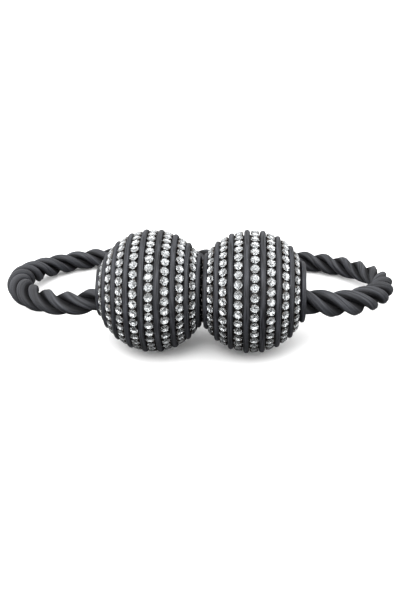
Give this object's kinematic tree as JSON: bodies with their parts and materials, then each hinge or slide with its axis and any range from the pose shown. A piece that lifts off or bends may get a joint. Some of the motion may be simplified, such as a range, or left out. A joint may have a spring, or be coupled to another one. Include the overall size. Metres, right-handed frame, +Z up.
{
  "type": "magnetic curtain tieback",
  "caption": "Wound, stone-set magnetic balls joined by a twisted satin rope loop that gathers and holds back a curtain.",
  "frame": {"origin": "on the surface it stands on, below the plane where the balls touch, on the balls' common axis seen from above", "axes": "+X runs along the balls through both magnets, +Y points to the back where the rope loop lies, +Z is up"},
  "size_m": [0.1502, 0.0921, 0.0438],
  "materials": {
    "bead": "dyed black",
    "magnet": "nickel plated",
    "magnet_cover": "satin black",
    "satin_cord": "satin",
    "stone_cups": "dark gunmetal plating",
    "stones": "cut and foiled",
    "satin_rope": "satin"
  },
  "bodies": {
    "root": {"left_bead": "bead", "left_magnet": "magnet", "left_magnet_cover": "magnet_cover", "left_cord_ring_1": "satin_cord", "left_cord_ring_2": "satin_cord", "left_cord_ring_3": "satin_cord", "left_cord_ring_4": "satin_cord", "left_cord_ring_5": "satin_cord", "left_cord_ring_6": "satin_cord", "left_cord_ring_7": "satin_cord", "left_cord_ring_8": "satin_cord", "left_cord_ring_9": "satin_cord", "left_cup_strip_1": "stone_cups", "left_stones_1": "stones", "left_cup_strip_2": "stone_cups", "left_stones_2": "stones", "left_cup_strip_3": "stone_cups", "left_stones_3": "stones", "left_cup_strip_4": "stone_cups", "left_stones_4": "stones", "left_cup_strip_5": "stone_cups", "left_stones_5": "stones", "left_cup_strip_6": "stone_cups", "left_stones_6": "stones", "left_cup_strip_7": "stone_cups", "left_stones_7": "stones", "left_cup_strip_8": "stone_cups", "left_stones_8": "stones", "right_bead": "bead", "right_magnet": "magnet", "right_magnet_cover": "magnet_cover", "right_cord_ring_1": "satin_cord", "right_cord_ring_2": "satin_cord", "right_cord_ring_3": "satin_cord", "right_cord_ring_4": "satin_cord", "right_cord_ring_5": "satin_cord", "right_cord_ring_6": "satin_cord", "right_cord_ring_7": "satin_cord", "right_cord_ring_8": "satin_cord", "right_cup_strip_1": "stone_cups", "right_stones_1": "stones", "right_cup_strip_2": "stone_cups", "right_stones_2": "stones", "right_cup_strip_3": "stone_cups", "right_stones_3": "stones", "right_cup_strip_4": "stone_cups", "right_stones_4": "stones", "right_cup_strip_5": "stone_cups", "right_stones_5": "stones", "right_cup_strip_6": "stone_cups", "right_stones_6": "stones", "right_cup_strip_7": "stone_cups", "right_stones_7": "stones", "right_cup_strip_8": "stone_cups", "right_stones_8": "stones", "rope": "satin_rope"}
  },
  "joints": []
}
